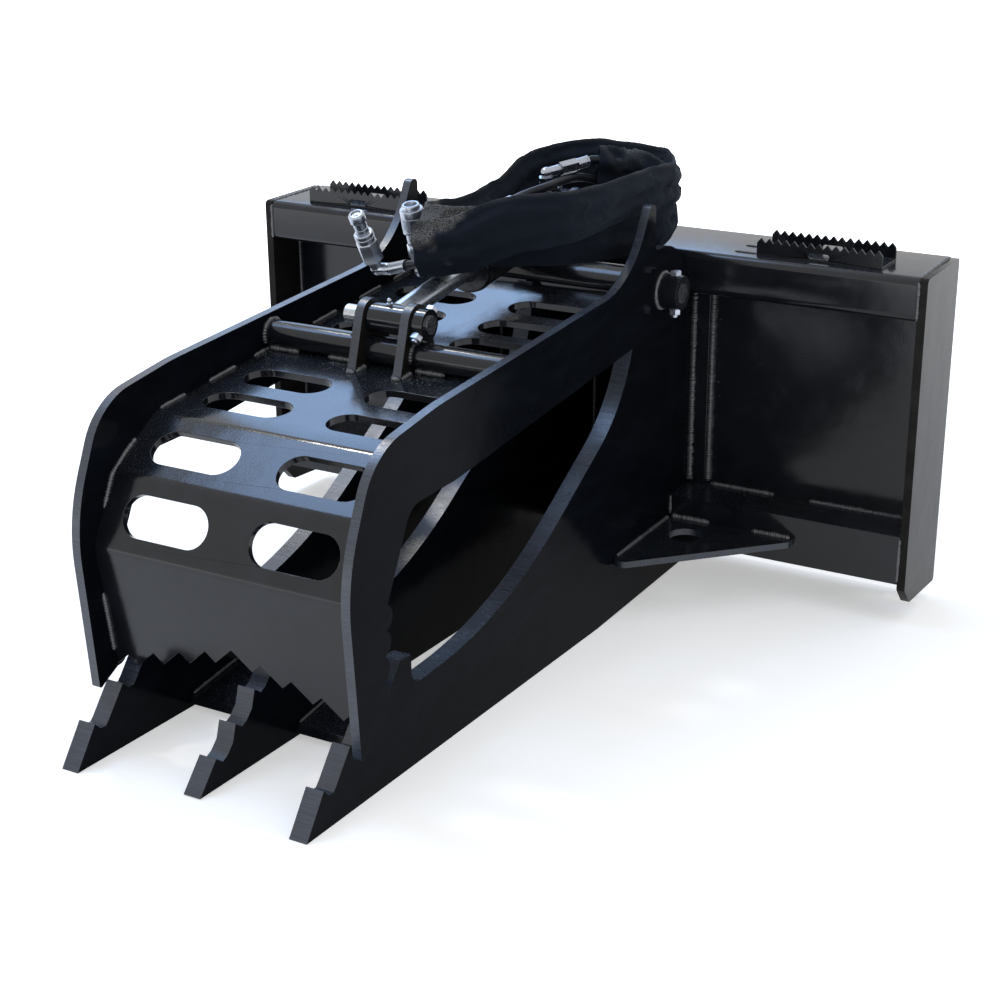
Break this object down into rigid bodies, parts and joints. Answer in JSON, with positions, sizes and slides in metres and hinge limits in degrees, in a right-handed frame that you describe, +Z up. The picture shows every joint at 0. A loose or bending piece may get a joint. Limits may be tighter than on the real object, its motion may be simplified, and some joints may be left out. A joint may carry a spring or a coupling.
{
  "type": "ripper grapple",
  "caption": "Ripper grapple for a skid steer: toothed tines on a quick-attach frame, with a slotted clamping arm that a hydraulic cylinder closes.",
  "frame": {"origin": "middle of the footprint on the ground plane that the tine heels stand on", "axes": "+X along the frame's width, +Y from the tine tips back to the loader, +Z up"},
  "size_m": [1.143, 1.147, 0.67],
  "materials": {
    "paint": "gloss black powder coat",
    "pin_steel": "ground bright steel",
    "bronze": "turned bronze",
    "zinc": "dull zinc plate",
    "plated_fitting": "bright zinc plate",
    "rubber": "matt black",
    "sleeve_fabric": "woven nylon with frayed, dusty folds"
  },
  "bodies": {
    "frame": {"back_plate": "paint", "top_beam": "paint", "bottom_tubes": "paint", "lower_flange": "paint", "end_plate_left": "paint", "end_plate_right": "paint", "step_tread_left": "paint", "step_tread_right": "paint", "tine_left": "paint", "tine_centre": "paint", "tine_right": "paint", "tine_strips": "paint", "front_cross_plates": "paint", "gusset_left": "paint", "gusset_right": "paint", "pivot_tube": "paint", "pivot_bushes": "bronze", "thrust_washers": "zinc", "cylinder_ears": "paint", "base_pin": "pin_steel", "base_pin_collars": "paint", "base_pin_bolt": "zinc"},
    "arm": {"arm_plate_left": "paint", "arm_plate_right": "paint", "arm_shell": "paint", "cross_tube": "paint", "clevis_ear_left": "paint", "clevis_ear_right": "paint", "rod_pin": "pin_steel", "rod_pin_collar": "paint", "rod_pin_bolt": "zinc", "arm_boss_left": "paint", "arm_boss_right": "paint", "pivot_pin_left": "pin_steel", "pivot_pin_right": "pin_steel", "pivot_bolts": "zinc"},
    "barrel": {"barrel_tube": "paint", "base_cap": "paint", "base_bush": "bronze", "gland": "paint", "rod_seals": "rubber", "port_bosses": "paint", "port_elbows": "plated_fitting", "grease_fitting_base": "zinc", "hose_stubs": "rubber", "hose_crimps": "plated_fitting", "hose_sleeve": "sleeve_fabric", "male_coupler": "zinc", "male_coupler_elbow": "zinc", "female_coupler": "zinc", "female_coupler_elbow": "zinc"},
    "rod": {"rod": "pin_steel", "rod_eye": "paint", "piston": "pin_steel", "piston_seals": "rubber", "piston_nut": "zinc", "grease_fitting_rod": "zinc"},
    "collar": {"coupler_collar": "zinc"}
  },
  "joints": [
    {"name": "arm_hinge", "type": "hinge", "parent": "frame", "child": "arm", "pos_m": [0, 0.3325, 0.483], "axis": [-1, 0, 0], "range_deg": [0, 40]},
    {"name": "barrel_hinge", "type": "hinge", "parent": "frame", "child": "barrel", "pos_m": [0, 0.4035, 0.577], "axis": [-1, 0, 0], "range_deg": [0, 35], "deforming": ["hose_sleeve"]},
    {"name": "rod_slide", "type": "slide", "parent": "barrel", "child": "rod", "axis": [0, 0.9912, 0.1325], "range_m": [0, 0.0705]},
    {"name": "collar_slide", "type": "slide", "parent": "barrel", "child": "collar", "axis": [0, 0.237, -0.9715], "range_m": [0, 0.007], "stiffness_N_per_m": 1500, "springref_m": -0.012}
  ],
  "couplings": [
    {"joint": "barrel_hinge", "follows": "arm_hinge", "ratio": 0.87199},
    {"joint": "rod_slide", "follows": "arm_hinge", "m_per_rad": 0.10017}
  ]
}
